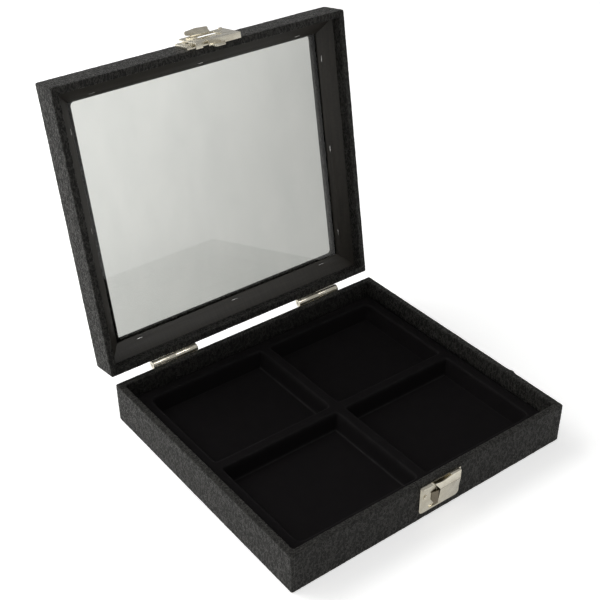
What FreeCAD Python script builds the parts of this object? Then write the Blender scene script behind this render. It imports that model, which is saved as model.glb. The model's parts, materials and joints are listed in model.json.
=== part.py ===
import FreeCAD, Part
import math
import os

# Hinged glass-top collection case, millimetres. X is the width, -Y the front with the catch,
# +Y the hinge side, +Z up. The origin is the centre of the underside. The lid is drawn closed
# and then turned open about the hinge axis, which is how the case is stored.

os.makedirs("parts", exist_ok=True)
Vector = FreeCAD.Vector

# Case
case_width = 210.0
case_depth = 187.0
base_height = 28.2
lid_height = 20.8
seam_gap = 0.5
lid_open_degrees = 99.5
board_thickness = 3.8
bottom_panel_thickness = 3.0
cover_thickness = 0.5
underside_sheet_margin = 2.0
floor_paper_thickness = 0.3
floor_paper_clearance = 0.5
edge_round = 0.9
corner_round = 1.3

# Window in the lid
window_margin_x = 16.9
window_margin_y = 15.2
window_corner_round = 2.5
lip_board_thickness = 2.8
glass_thickness = 2.0
glass_edge_clearance = 0.4

# Glazing beads and their staples
bead_width = 9.4
bead_height = 7.8
bead_foot = 0.8
bead_ridge = 0.4
staple_crown_length = 5.2
staple_wire = 0.6
staple_crown_height = 1.0
staple_above_glass = 1.9
staple_depth_in_board = 2.2
staple_spacing_x = 75.0
staple_spacing_y = 62.5

# Insert with four compartments
tray_side_gap = 2.4
tray_front_gap = 0.6
tray_back_gap = 3.6
tray_height = 15.4
tray_skin = 0.9
cell_depth = 10.1
cell_wall_lean = 4.2
cell_edge_round = 1.2
cell_floor_corner_round = 0.9
cell_mouth_corner_round = 2.6
cell_outer_corner_round = 6.0
divider_width = 6.6
tray_border = 7.6
tray_corner_round = 3.0

# Hinges
hinge_spacing = 118.4
hinge_length = 34.0
hinge_axis_out = 2.6
barrel_radius = 2.5
leaf_thickness = 0.8
leaf_reach = 12.0
leaf_corner_round = 2.0
knuckle_gap = 0.3
leaf_to_barrel_gap = 0.2
pin_radius = 0.9
pin_fit_clearance = 0.05
stop_tail_inset = 2.0
stop_tail_width = 7.0
stop_tail_reach = 5.4
stop_tail_gap = 0.1
stop_tail_under_pin = 0.5
hinge_nail_count = 3
hinge_nail_spacing = 11.5
hinge_nail_drop = 8.2

# Small nails of the hinges and the catch
nail_head_radius = 1.5
nail_head_height = 0.5
nail_crown_round = 0.3
nail_shank_radius = 0.55
nail_length = 3.2

# Keeper, the half of the catch on the base
catch_left = -14.0
keeper_right = 17.2
keeper_to_slide_gap = 0.2
keeper_height = 20.8
keeper_depth = 2.8
keeper_sheet = 0.6
keeper_corner_round = 3.0
keeper_crease_drop = 6.4
keeper_rib = 0.3
keeper_cover_foot = 1.6
notch_left = -4.5
notch_right = 8.3
notch_dip = 1.2
keeper_cheek_lean = 4.4
keeper_slot_width = 1.6
keeper_right_inset = 1.5
keeper_nail_inset = 4.4
keeper_nail_drop = 9.4
keeper_leaf_sheet = 0.35
keeper_leaf_foot = 3.2
keeper_leaf_flat = 2.0
keeper_leaf_tip_gap = 0.4
keeper_leaf_below_hook = 0.4

# Lid half of the catch
mount_plate_right = 18.0
mount_plate_foot = 1.2
mount_plate_length = 14.0
mount_plate_rise = 2.2
mount_plate_sheet = 0.8
mount_nail_inset = 1.9
slide_sheet = 0.8
slide_gap = 0.15
slide_above_plate = 0.85
slide_travel = 5.0
slide_left = -9.9
slide_right = 22.5
slide_top = 18.0
slide_over_rim = 2.5
slide_rim_face_gap = 0.15
slide_window_left = -0.7
slide_window_right = 13.5
slide_window_low = 4.0
slide_window_high = 14.2
slide_window_round = 1.0
slide_corner_round = 0.7
slide_ear_length = 2.6
slide_ear_rise = 0.6
slide_notch_left = -5.0
slide_notch_width = 4.2
slide_notch_depth = 1.6
slide_rivet_radius = 1.0
slide_rivet_head_radius = 1.7
slide_rivet_head_height = 0.5
slide_rivet_collar_radius = 1.5
slide_rivet_height = 9.2
slide_rivet_left = -4.2
slide_rivet_right = 15.4
slide_rivet_clearance = 0.1
hook_neck_left = -0.6
hook_neck_right = 7.2
hook_barb_right = 9.3
hook_end_left = 0.4
hook_end_right = 6.4
hook_sheet = 0.7
hook_face_gap = 0.7
hook_barb_gap = 0.7
hook_barb_height = 1.4
hook_end_drop = 10.0
tab_neck_left = 3.0
tab_neck_right = 13.4
tab_left = -4.9
tab_right = 12.0
tab_rise = 4.6
tab_crown = 0.3
tab_wing_low = 1.9
tab_right_low = 2.6
tab_corner_drop = 0.4
tab_corner_round = 1.1
tab_lean_degrees = 10.0
spring_wire = 0.4
spring_seat_gap = 0.3
spring_fold_count = 4
spring_width = 4.4

# How far a cutting form runs past the face it opens, and the slack in finding an edge
through = 1.0
slack = 0.01

# Values that follow
half_width = case_width / 2
half_depth = case_depth / 2
wall = board_thickness + 2 * cover_thickness
inner_x = half_width - wall
inner_y = half_depth - wall
board_out_x = half_width - cover_thickness
board_out_y = half_depth - cover_thickness
board_in_x = board_out_x - board_thickness
board_in_y = board_out_y - board_thickness
floor_top = cover_thickness + bottom_panel_thickness
tray_half_x = inner_x - tray_side_gap
tray_half_y = inner_y - (tray_front_gap + tray_back_gap) / 2
tray_y = (tray_front_gap - tray_back_gap) / 2
lid_rim = base_height + seam_gap
lid_top = lid_rim + lid_height
lip_low = lid_top - lip_board_thickness - 2 * cover_thickness
glass_low = lip_low - glass_thickness
window_x = half_width - window_margin_x
window_y = half_depth - window_margin_y
hinge_y = half_depth + hinge_axis_out
hinge_z = base_height + seam_gap / 2
leaf_face_to_axis = hinge_axis_out - leaf_thickness
leaf_start = math.sqrt(max(0, barrel_radius ** 2 - leaf_face_to_axis ** 2)) + leaf_to_barrel_gap
front_face = -half_depth
keeper_top = lid_rim - slide_over_rim - keeper_to_slide_gap
keeper_low = keeper_top - keeper_height


def block(x0, x1, y0, y1, z0, z1):
    return Part.makeBox(x1 - x0, y1 - y0, z1 - z0, Vector(x0, y0, z0))


def centred_block(half_x, half_y, z0, z1):
    return block(-half_x, half_x, -half_y, half_y, z0, z1)


def on_front(x0, x1, out0, out1, z0, z1):
    # A block in front of the case, measured outwards from the front face.
    return block(x0, x1, front_face - out1, front_face - out0, z0, z1)


def front_bore(x, z, radius, out):
    # A round cutting form square to the front face, from the face to just past a distance out.
    start = Vector(x, front_face - out - through, z)
    return Part.makeCylinder(radius, out + through, start, Vector(0, 1, 0))


def prism(points, direction):
    wire = Part.makePolygon([Vector(*p) for p in points + points[:1]])
    return Part.Face(wire).extrude(Vector(*direction))


def front_outline(points, out0, out1):
    # A sheet parallel to the front face, from its outline in X and Z.
    flat = [(x, front_face - out1, z) for x, z in points]
    return prism(flat, (0, out1 - out0, 0))


def side_outline(points, x0, x1):
    # A strip along X, from its outline in distance out of the front face and Z.
    flat = [(x0, front_face - out, z) for out, z in points]
    return prism(flat, (x1 - x0, 0, 0))


def rounded(shape, radius, chosen):
    edges = [e for e in shape.Edges if chosen(e.BoundBox)]
    return shape.makeFillet(radius, edges)


def is_upright(box):
    return box.ZLength > through and box.XLength < slack and box.YLength < slack


def is_level_at(box, z):
    return abs(box.ZMin - z) < slack and abs(box.ZMax - z) < slack


def is_within(box, half_x, half_y):
    far_x = max(abs(box.XMin), abs(box.XMax))
    far_y = max(abs(box.YMin), abs(box.YMax))
    return far_x < half_x + slack and far_y < half_y + slack


def turned(shape, degrees):
    # Turn about the hinge axis.
    copy = shape.copy()
    copy.rotate(Vector(0, hinge_y, hinge_z), Vector(1, 0, 0), degrees)
    return copy


def opened(shape):
    return turned(shape, -lid_open_degrees)


def save(name, shape):
    shape.exportStep("parts/" + name + ".step")


def group(shapes):
    return Part.makeCompound(shapes)


# Fasteners
def nail(place, direction):
    # A round-headed nail. The place is the middle of the head's seat.
    aim = Vector(*direction)
    back = aim * -1
    head = Part.makeCylinder(nail_head_radius, nail_head_height, place, back)
    rims = [e for e in head.Edges if e.BoundBox.DiagonalLength > nail_head_radius]
    far = max(rims, key=lambda e: (e.CenterOfMass - place).dot(back))
    head = head.makeFillet(nail_crown_round, [far])
    return head.fuse(Part.makeCylinder(nail_shank_radius, nail_length, place, aim)).removeSplitter()


def hinge_nails(z, direction):
    seat = half_depth + leaf_thickness
    places = []
    for centre in (-hinge_spacing / 2, hinge_spacing / 2):
        for index in range(hinge_nail_count):
            offset = (index - (hinge_nail_count - 1) / 2) * hinge_nail_spacing
            places.append(Vector(centre + offset, seat, z))
    return [nail(place, direction) for place in places]


def flush_nail(x, z, top):
    # A flat-headed nail whose head lies flush in the mounting plate.
    toward_case = Vector(0, 1, 0)
    start = Vector(x, front_face - top, z)
    head = Part.makeCylinder(nail_head_radius, nail_head_height, start, toward_case)
    return head.fuse(Part.makeCylinder(nail_shank_radius, top + nail_length, start, toward_case))


def staple(along_x, side, position):
    # The crown lies on the bead's sloping face and both legs go level into the wall board.
    crown_low = glass_low - staple_above_glass - staple_crown_height / 2
    slope = bead_width / (bead_height - bead_foot)
    out_of_wall = (crown_low - (glass_low - bead_height)) * slope
    half = staple_crown_length / 2
    high = crown_low + staple_crown_height
    leg_end = -cover_thickness - staple_depth_in_board
    middle = (crown_low + high) / 2
    crown = (out_of_wall - staple_wire / 2, out_of_wall + staple_wire)
    pieces = [(-half, half, crown[0], crown[1], crown_low, high)]
    for end in (-half, half - staple_wire):
        low = middle - staple_wire / 2
        pieces.append((end, end + staple_wire, leg_end, crown[0], low, low + staple_wire))
    solids = []
    for a0, a1, d0, d1, z0, z1 in pieces:
        a0, a1 = position + a0, position + a1
        face = inner_y if along_x else inner_x
        spread = sorted((side * (face - d0), side * (face - d1)))
        if along_x:
            solids.append(block(a0, a1, spread[0], spread[1], z0, z1))
        else:
            solids.append(block(spread[0], spread[1], a0, a1, z0, z1))
    return solids[0].fuse(solids[1:]).removeSplitter()


def staples():
    made = []
    for side in (-1, 1):
        for step in (-1, 0, 1):
            made.append(staple(True, side, step * staple_spacing_x))
            made.append(staple(False, side, step * staple_spacing_y))
    return made


# Walls
def wall_boards(z0, z1):
    return {
        "front": block(-board_out_x, board_out_x, -board_out_y, -board_in_y, z0, z1),
        "back": block(-board_out_x, board_out_x, board_in_y, board_out_y, z0, z1),
        "left": block(-board_out_x, -board_in_x, -board_in_y, board_in_y, z0, z1),
        "right": block(board_in_x, board_out_x, -board_in_y, board_in_y, z0, z1),
    }


def bottom_panel():
    return centred_block(board_out_x, board_out_y, cover_thickness, floor_top)


def base_wrap():
    # Leatherette up the outside, over the rim and down the inside of the base walls.
    outside = centred_block(half_width, half_depth, cover_thickness, base_height)
    outside = rounded(outside, corner_round, is_upright)
    outside = rounded(outside, edge_round, lambda b: is_level_at(b, base_height))
    hollow = centred_block(inner_x, inner_y, floor_top, base_height + through)
    ring = outside.cut(hollow)
    ring = rounded(ring, edge_round,
                   lambda b: is_level_at(b, base_height) and is_within(b, inner_x, inner_y))
    ring = ring.cut(bottom_panel())
    wood_top = base_height - cover_thickness
    return ring.cut(list(wall_boards(floor_top, wood_top).values()))


def underside_sheet():
    half_x = half_width - underside_sheet_margin
    half_y = half_depth - underside_sheet_margin
    return centred_block(half_x, half_y, 0, cover_thickness)


def floor_paper():
    top = floor_top + floor_paper_thickness
    half_x = inner_x - floor_paper_clearance
    return centred_block(half_x, inner_y - floor_paper_clearance, floor_top, top)


# Lid
def lip_boards():
    z0 = lip_low + cover_thickness
    z1 = z0 + lip_board_thickness
    edge_x = window_x + cover_thickness
    edge_y = window_y + cover_thickness
    return {
        "front": block(-board_out_x, board_out_x, -board_out_y, -edge_y, z0, z1),
        "back": block(-board_out_x, board_out_x, edge_y, board_out_y, z0, z1),
        "left": block(-board_out_x, -edge_x, -edge_y, edge_y, z0, z1),
        "right": block(edge_x, board_out_x, -edge_y, edge_y, z0, z1),
    }


def lid_wall_boards():
    return wall_boards(lid_rim + cover_thickness, lip_low + cover_thickness)


def lid_wrap():
    # One skin round the lid's walls and round the lip of the window. It is left off where
    # the edge of the pane meets the wall boards.
    outside = centred_block(half_width, half_depth, lid_rim, lid_top)
    outside = rounded(outside, corner_round, is_upright)
    outside = rounded(outside, edge_round, lambda b: is_level_at(b, lid_top))
    outside = rounded(outside, edge_round, lambda b: is_level_at(b, lid_rim))
    hollow = centred_block(inner_x, inner_y, lid_rim - through, lip_low)
    hole = centred_block(window_x, window_y, lip_low - through, lid_top + through)
    hole = rounded(hole, window_corner_round, is_upright)
    skin = outside.cut([hollow, hole])
    skin = rounded(skin, edge_round,
                   lambda b: is_level_at(b, lid_rim) and is_within(b, inner_x, inner_y))
    skin = rounded(skin, edge_round,
                   lambda b: is_level_at(b, lid_top) and is_within(b, window_x, window_y))
    pane_groove = centred_block(board_in_x, board_in_y, glass_low, lip_low)
    boards = list(lid_wall_boards().values()) + list(lip_boards().values())
    return skin.cut(boards + [pane_groove])


def glass_pane():
    half_x = inner_x - glass_edge_clearance
    return centred_block(half_x, inner_y - glass_edge_clearance, glass_low, lip_low)


def bead(face, length, place):
    # The bead's section runs along its wall and is mitred at both ends.
    top = glass_low
    low = top - bead_height
    middle = bead_width / 2
    rise = bead_height - bead_foot
    slant = math.hypot(rise, bead_width)
    ridge = (middle + bead_ridge * rise / slant, low + rise / 2 - bead_ridge * bead_width / slant)
    section = [(0, low), ridge, (bead_width, low + rise), (bead_width, top), (0, top)]
    flat = [(face - d, -length, z) for d, z in section]
    strip = prism(flat, (0, 2 * length, 0))
    plan = [(face, -length), (face, length)]
    plan += [(face - bead_width, length - bead_width), (face - bead_width, bead_width - length)]
    outline = [(x, y, low - through) for x, y in plan]
    mitred = strip.common(prism(outline, (0, 0, bead_height + 2 * through)))
    mitred.rotate(Vector(0, 0, 0), Vector(0, 0, 1), place)
    return mitred


def beads():
    return {
        "right": bead(inner_x, inner_y, 0),
        "back": bead(inner_y, inner_x, 90),
        "left": bead(inner_x, inner_y, 180),
        "front": bead(inner_y, inner_x, 270),
    }


# Insert
def rounded_rectangle(x0, x1, y0, y1, z, radius, outer, outer_radius):
    # Corners run anticlockwise, each a quarter arc between two straight sides. One of them, on
    # the given sides, has a radius of its own.
    arcs = []
    for cx, cy, sx, sy in ((x1, y0, 1, -1), (x1, y1, 1, 1), (x0, y1, -1, 1), (x0, y0, -1, -1)):
        r = outer_radius if (sx, sy) == outer else radius
        diagonal = r * (1 - math.sqrt(0.5))
        on_x = Vector(cx - sx * r, cy, z)
        on_y = Vector(cx, cy - sy * r, z)
        middle = Vector(cx - sx * diagonal, cy - sy * diagonal, z)
        ends = (on_x, on_y) if sx * sy < 0 else (on_y, on_x)
        arcs.append(Part.Arc(ends[0], middle, ends[1]).toShape())
    edges = []
    for index, arc in enumerate(arcs):
        following = arcs[(index + 1) % len(arcs)]
        edges.append(arc)
        edges.append(Part.LineSegment(arc.Vertexes[-1].Point, following.Vertexes[0].Point).toShape())
    return Part.Wire(edges)


def cell_form(side_x, side_y, grow, z0, z1):
    # One compartment as a solid that narrows towards its floor. grow is added all round.
    outer_x = tray_half_x - tray_border
    outer_y = tray_half_y - tray_border
    xs = sorted((side_x * divider_width / 2, side_x * outer_x))
    ys = sorted((tray_y + side_y * divider_width / 2, tray_y + side_y * outer_y))
    foot = cell_floor_corner_round
    levels = ((z0, cell_wall_lean, foot, foot), (z1, 0, cell_mouth_corner_round, cell_outer_corner_round))
    wires = []
    for z, lean, radius, outer_radius in levels:
        inset = lean - grow
        frame = (xs[0] + inset, xs[1] - inset, ys[0] + inset, ys[1] - inset)
        corner = (side_x, side_y)
        wires.append(rounded_rectangle(*frame, z, radius + grow, corner, outer_radius + grow))
    return Part.makeLoft(wires, True, True)


def tray_block(inset, z0, z1):
    x = tray_half_x - inset
    y = tray_half_y - inset
    return block(-x, x, tray_y - y, tray_y + y, z0, z1)


def compartment_tray():
    low = floor_top + floor_paper_thickness
    high = low + tray_height
    floor = high - cell_depth
    body = tray_block(0, low, high)
    body = rounded(body, tray_corner_round, is_upright)
    under = tray_block(tray_skin, low - through, high - tray_skin)
    body = body.cut(under)
    sides = [(sx, sy) for sx in (-1, 1) for sy in (-1, 1)]
    shells = [cell_form(sx, sy, tray_skin, floor - tray_skin, high - tray_skin / 2) for sx, sy in sides]
    body = body.fuse(shells)
    body = body.cut([cell_form(sx, sy, 0, floor, high) for sx, sy in sides])
    reach_x = tray_half_x - tray_border
    reach_y = tray_half_y - tray_border + abs(tray_y)
    return rounded(body, cell_edge_round, lambda b: is_level_at(b, high) and is_within(b, reach_x, reach_y))


# Hinges
def knuckle(x0, x1, bore_clearance):
    start = Vector(x0, hinge_y, hinge_z)
    ring = Part.makeCylinder(barrel_radius, x1 - x0, start, Vector(1, 0, 0))
    bore_radius = pin_radius + bore_clearance
    return ring, Part.makeCylinder(bore_radius, x1 - x0, start, Vector(1, 0, 0))


def hinge_leaf(centre, knuckle_side, up):
    # A leaf on the back face with one knuckle on its own half of the hinge.
    half = hinge_length / 2
    split = knuckle_gap / 2
    out = half_depth + leaf_thickness
    if up > 0:
        ends = (hinge_z + leaf_start, hinge_z + leaf_reach)
    else:
        ends = (hinge_z - leaf_reach, hinge_z - leaf_start)
    plate = block(centre - half, centre + half, half_depth, out, ends[0], ends[1])
    far = ends[1] if up > 0 else ends[0]
    plate = rounded(plate, leaf_corner_round, lambda b: is_level_at(b, far) and b.XLength < slack)
    own = sorted((centre + knuckle_side * split, centre + knuckle_side * half))
    inner_end = ends[0] if up > 0 else ends[1]
    rise = sorted((inner_end, hinge_z))
    web = block(own[0], own[1], half_depth, out, rise[0], rise[1])
    ring, bore = knuckle(own[0], own[1], 0.0 if up < 0 else pin_fit_clearance)
    return plate.fuse([web, ring]).cut(bore).removeSplitter()


def base_leaf(centre):
    return hinge_leaf(centre, -1 if centre < 0 else 1, -1)


def lid_leaf(centre):
    # The stop tail lies against the base leaf when the lid is open, and holds it there.
    side = 1 if centre < 0 else -1
    leaf = opened(hinge_leaf(centre, side, 1))
    start = centre + side * (knuckle_gap / 2 + stop_tail_inset)
    own = sorted((start, start + side * stop_tail_width))
    tail_in = half_depth + leaf_thickness + stop_tail_gap
    low = hinge_z - stop_tail_reach
    high = hinge_z - pin_radius - stop_tail_under_pin
    tail = block(own[0], own[1], tail_in, tail_in + leaf_thickness, low, high)
    return leaf.fuse(tail).removeSplitter()


def hinge_pin(centre):
    half = hinge_length / 2
    start = Vector(centre - half, hinge_y, hinge_z)
    return Part.makeCylinder(pin_radius, hinge_length, start, Vector(1, 0, 0))


# Keeper
def keeper_back_plate():
    # A flat plate whose top is turned forward over the nail, left of the cover.
    plate = on_front(catch_left, keeper_right, 0, keeper_sheet, keeper_low, keeper_top)
    plate = rounded(plate, keeper_corner_round, lambda b: is_level_at(b, keeper_low) and b.XLength < slack)
    slot = notch_left - keeper_slot_width
    flange = on_front(catch_left, slot, 0, keeper_depth, keeper_top - keeper_sheet, keeper_top)
    return plate.fuse(flange).removeSplitter()


def keeper_profile(x0, x1):
    # Bent sheet: a flange on top, a front face, a pressed rib along the crease, and a slope
    # back down to the plate.
    sheet = keeper_sheet
    top = keeper_top
    crease = top - keeper_crease_drop
    front = keeper_depth
    foot = keeper_low + keeper_cover_foot
    outer = [(sheet, top), (front, top), (front, crease + keeper_rib), (front + keeper_rib, crease)]
    outer += [(front, crease - keeper_rib), (2 * sheet, foot), (sheet, foot)]
    shell = side_outline(outer, x0, x1)
    inner = [(sheet, top - sheet), (front - sheet, top - sheet), (front - sheet, crease)]
    inner += [(sheet, foot + 2 * sheet)]
    return shell.cut(side_outline(inner, x0 - through, x1 + through))


def keeper_cover():
    # The shell right of the slot, with a strap along its foot that runs on under the slot.
    right = keeper_right - keeper_right_inset
    reach = keeper_depth + through
    main = keeper_profile(notch_left, right)
    outline = on_front(notch_left, right, 0, reach, keeper_low + keeper_cover_foot, keeper_top)
    outline = rounded(outline, keeper_corner_round,
                      lambda b: b.YLength > reach - slack and b.XMin > notch_left + slack
                      and b.ZMax < keeper_top - slack)
    main = main.common(outline)
    crease = keeper_top - keeper_crease_drop
    cheek = notch_left + keeper_cheek_lean
    cut_low = keeper_low + keeper_sheet
    left_cut = [(notch_left - through, keeper_top + through), (notch_left, keeper_top - keeper_sheet)]
    left_cut += [(cheek, crease), (cheek, cut_low), (notch_left - through, cut_low)]
    main = main.cut(front_outline(left_cut, keeper_sheet, reach))
    slot = notch_left - keeper_slot_width
    foot_low = keeper_low + keeper_cover_foot
    strap_right = right - keeper_corner_round
    strap = on_front(slot, strap_right, keeper_sheet, 2 * keeper_sheet, foot_low, foot_low + keeper_sheet)
    middle = (notch_left + notch_right) / 2
    half = (notch_right - notch_left) / 2
    gap = on_front(notch_left, notch_right, 0, reach, keeper_top - keeper_sheet, keeper_top + through)
    dip_radius = (half * half + notch_dip * notch_dip) / (2 * notch_dip)
    centre = Vector(middle, front_face - reach, keeper_top - notch_dip + dip_radius)
    dip = Part.makeCylinder(dip_radius, reach - keeper_sheet, centre, Vector(0, 1, 0))
    whole = main.fuse(strap).cut([gap, dip])
    return whole.removeSplitter()


def keeper_spring():
    # A leaf seen through the slot of the cover, sprung against the hook's neck.
    z0 = keeper_low + keeper_leaf_foot
    z1 = lid_z(-hook_end_drop) - keeper_leaf_below_hook
    x0 = notch_left - keeper_slot_width
    bend = x0 + keeper_leaf_flat
    tip = notch_left + keeper_cheek_lean - keeper_leaf_tip_gap
    inner = keeper_sheet
    outer = keeper_depth - 2 * keeper_sheet
    sheet = keeper_leaf_sheet
    points = [(x0, inner), (bend, inner), (tip, outer), (tip, outer + sheet)]
    points += [(bend, inner + sheet), (x0, inner + sheet)]
    flat = [(x, front_face - out, z0) for x, out in points]
    return prism(flat, (0, 0, z1 - z0))


# Lid half of the catch
def lid_z(above_rim):
    return lid_rim + above_rim


def mounting_plate():
    # A shallow pressed box, open towards the lid, with a slot for each rivet of the slide.
    z0 = lid_z(mount_plate_foot)
    z1 = z0 + mount_plate_length
    sheet = mount_plate_sheet
    rise = mount_plate_rise
    right = mount_plate_right
    shell = on_front(catch_left, right, 0, rise, z0, z1)
    inside = on_front(catch_left + sheet, right - sheet, -through, rise - sheet, z0 + sheet, z1 - sheet)
    shell = shell.cut(inside)
    half = slide_rivet_radius + slide_rivet_clearance
    for x in (slide_rivet_left, slide_rivet_right):
        middle = lid_z(slide_rivet_height)
        slot = on_front(x - slide_travel, x, 0, rise + through, middle - half, middle + half)
        slot = slot.fuse([front_bore(end, middle, half, rise) for end in (x - slide_travel, x)])
        shell = shell.cut(slot)
    return shell


def mounting_nails():
    made = []
    far = mount_plate_foot + mount_plate_length
    for x in (catch_left + mount_nail_inset, mount_plate_right - mount_nail_inset):
        for z in (mount_plate_foot + mount_nail_inset, far - mount_nail_inset):
            made.append(flush_nail(x, lid_z(z), mount_plate_rise))
    return made


def slide_hook(inner):
    # A tapered hook that passes the keeper's notch. Its barb catches under the keeper's flange,
    # and its slanted edge below the barb moves the slide aside as the lid is pressed shut.
    root = lid_z(-slide_over_rim)
    shoulder = keeper_top - keeper_sheet - hook_barb_gap
    ramp = shoulder - hook_barb_height
    low = lid_z(-hook_end_drop)
    outline = [(hook_neck_left, root), (hook_end_left, low), (hook_end_right, low)]
    outline += [(hook_barb_right, ramp), (hook_barb_right, shoulder)]
    outline += [(hook_neck_right, shoulder), (hook_neck_right, root)]
    return front_outline(outline, inner, inner + hook_sheet)


def finger_tab(out):
    # The far edge of the slide, turned up and leaning away, with a wing that stands clear of
    # the plate on the left.
    top = out + tab_rise
    middle = (tab_left + tab_right) / 2
    z1 = lid_z(slide_top)
    outline = [(tab_neck_left, out), (tab_left, out + tab_wing_low), (tab_left, top - tab_corner_drop)]
    outline += [(middle, top + tab_crown), (tab_right, top - tab_corner_drop)]
    outline += [(tab_right, out + tab_right_low), (tab_neck_right, out)]
    flat = [(x, front_face - o, z1 - slide_sheet) for x, o in outline]
    plate = prism(flat, (0, 0, slide_sheet))
    corners = [(x, front_face - o) for x, o in outline[1:3] + outline[4:5]]
    plate = rounded(plate, tab_corner_round,
                    lambda b: b.ZLength > slide_sheet - slack and b.XLength < slack
                    and any(abs(b.XMin - x) < slack and abs(b.YMin - y) < slack for x, y in corners))
    plate.rotate(Vector(0, front_face - out, z1 - slide_sheet), Vector(1, 0, 0), -tab_lean_degrees)
    return plate


def catch_slide():
    low = mount_plate_rise + slide_above_plate
    high = low + slide_sheet
    z0 = lid_z(-slide_over_rim)
    z1 = lid_z(slide_top)
    plate = on_front(slide_left, slide_right, low, high, z0, z1)
    plate = rounded(plate, slide_corner_round, lambda b: is_level_at(b, z1) and b.XLength < slack)
    window = on_front(slide_window_left, slide_window_right, 0, high + through,
                      lid_z(slide_window_low), lid_z(slide_window_high))
    window = rounded(window, slide_window_round, lambda b: b.YLength > through)
    flange = on_front(slide_left, slide_right, slide_rim_face_gap, high, z0, z0 + slide_sheet)
    notch_end = slide_notch_left + slide_notch_width
    notch = on_front(slide_notch_left, notch_end, 0, high + through, z0 - through, z0 + slide_notch_depth)
    ear_right = slide_right - slide_corner_round
    ear = on_front(ear_right - slide_ear_length, ear_right, low, high + slide_ear_rise, z1 - slide_sheet, z1)
    body = plate.fuse([flange, ear, finger_tab(low), slide_hook(hook_face_gap)])
    body = body.cut([window, notch])
    holes = []
    for x in (slide_rivet_left, slide_rivet_right):
        holes.append(front_bore(x, lid_z(slide_rivet_height), slide_rivet_radius, high))
    return body.cut(holes).removeSplitter()


def slide_rivets():
    # Flush on top, with a collar that glides on the mounting plate and a head inside it.
    under = mount_plate_rise + slide_above_plate
    high = under + slide_sheet
    head_top = mount_plate_rise - mount_plate_sheet - slide_gap
    inward = Vector(0, 1, 0)
    made = []
    for x in (slide_rivet_left, slide_rivet_right):
        start = Vector(x, front_face - high, lid_z(slide_rivet_height))
        length = high - head_top + slide_rivet_head_height
        shank = Part.makeCylinder(slide_rivet_radius, length, start, inward)
        head_start = Vector(x, front_face - head_top, lid_z(slide_rivet_height))
        head = Part.makeCylinder(slide_rivet_head_radius, slide_rivet_head_height, head_start, inward)
        collar_start = Vector(x, front_face - under, lid_z(slide_rivet_height))
        collar_height = slide_above_plate - slide_gap
        collar = Part.makeCylinder(slide_rivet_collar_radius, collar_height, collar_start, inward)
        made.append(shank.fuse([head, collar]).removeSplitter())
    return made


def catch_spring():
    # A flat zigzag between the plate's left wall and the head of the left rivet.
    x0 = catch_left + mount_plate_sheet
    x1 = slide_rivet_left - slide_rivet_head_radius
    middle = lid_z(slide_rivet_height)
    pitch = (x1 - x0) / spring_fold_count
    half = spring_width / 2
    centre_line = []
    for index in range(spring_fold_count + 1):
        side = -1 if index % 2 else 1
        centre_line.append((x0 + index * pitch, middle + side * half))
    upper = [(x, z + spring_wire) for x, z in centre_line]
    lower = [(x, z - spring_wire) for x, z in reversed(centre_line)]
    return front_outline(upper + lower, spring_seat_gap, spring_seat_gap + spring_wire)


# Build the base
base_boards = wall_boards(floor_top, base_height - cover_thickness)
wrap = base_wrap()
base_nail_height = hinge_z - hinge_nail_drop
base_nails = hinge_nails(base_nail_height, (0, -1, 0))
keeper_nail_x = catch_left + keeper_nail_inset
keeper_nail_place = Vector(keeper_nail_x, front_face - keeper_sheet, keeper_top - keeper_nail_drop)
keeper_nail = nail(keeper_nail_place, (0, 1, 0))
wrap = wrap.cut(base_nails + [keeper_nail])
base_boards["back"] = base_boards["back"].cut(base_nails)
base_boards["front"] = base_boards["front"].cut([keeper_nail])
for name, board in base_boards.items():
    save("base_" + name + "_board", board)
save("base_bottom_panel", bottom_panel())
save("base_wrap", wrap)
save("base_underside_sheet", underside_sheet())
save("base_floor_paper", floor_paper())
save("compartment_tray", compartment_tray())

# Build the hinges
lid_nail_height = hinge_z + hinge_nail_drop
lid_nails = hinge_nails(lid_nail_height, (0, -1, 0))
for name, centre in (("left", -hinge_spacing / 2), ("right", hinge_spacing / 2)):
    save("hinge_base_leaf_" + name, base_leaf(centre).cut(base_nails))
    save("hinge_lid_leaf_" + name, lid_leaf(centre).cut([opened(n) for n in lid_nails]))
    save("hinge_pin_" + name, hinge_pin(centre))
save("hinge_base_nails", group(base_nails))
save("hinge_lid_nails", group([opened(n) for n in lid_nails]))

# Build the lid
wire_staples = staples()
catch_nails = mounting_nails()
lid_boards = lid_wall_boards()
lid_skin = lid_wrap().cut(wire_staples + lid_nails + catch_nails)
lid_boards["back"] = lid_boards["back"].cut(wire_staples + lid_nails)
lid_boards["front"] = lid_boards["front"].cut(wire_staples + catch_nails)
lid_boards["left"] = lid_boards["left"].cut(wire_staples)
lid_boards["right"] = lid_boards["right"].cut(wire_staples)
for name, board in lid_boards.items():
    save("lid_" + name + "_board", opened(board))
for name, board in lip_boards().items():
    save("lid_" + name + "_lip", opened(board))
save("lid_wrap", opened(lid_skin))
save("glass_pane", opened(glass_pane()))
for name, strip in beads().items():
    save("glazing_bead_" + name, opened(strip.cut(wire_staples)))
save("bead_staples", opened(group(wire_staples)))

# Build the catch
save("keeper_back_plate", keeper_back_plate().cut(keeper_nail))
save("keeper_cover", keeper_cover().cut(keeper_nail))
save("keeper_spring_leaf", keeper_spring())
save("keeper_nail", keeper_nail)
save("catch_mounting_plate", opened(mounting_plate().cut(catch_nails)))
save("catch_mounting_nails", opened(group(catch_nails)))
save("catch_slide", opened(catch_slide()))
save("catch_slide_rivets", opened(group(slide_rivets())))
save("catch_spring", opened(catch_spring()))
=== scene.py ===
import json
import math

import bmesh
import bpy
import numpy as np
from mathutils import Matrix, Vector, noise

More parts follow.
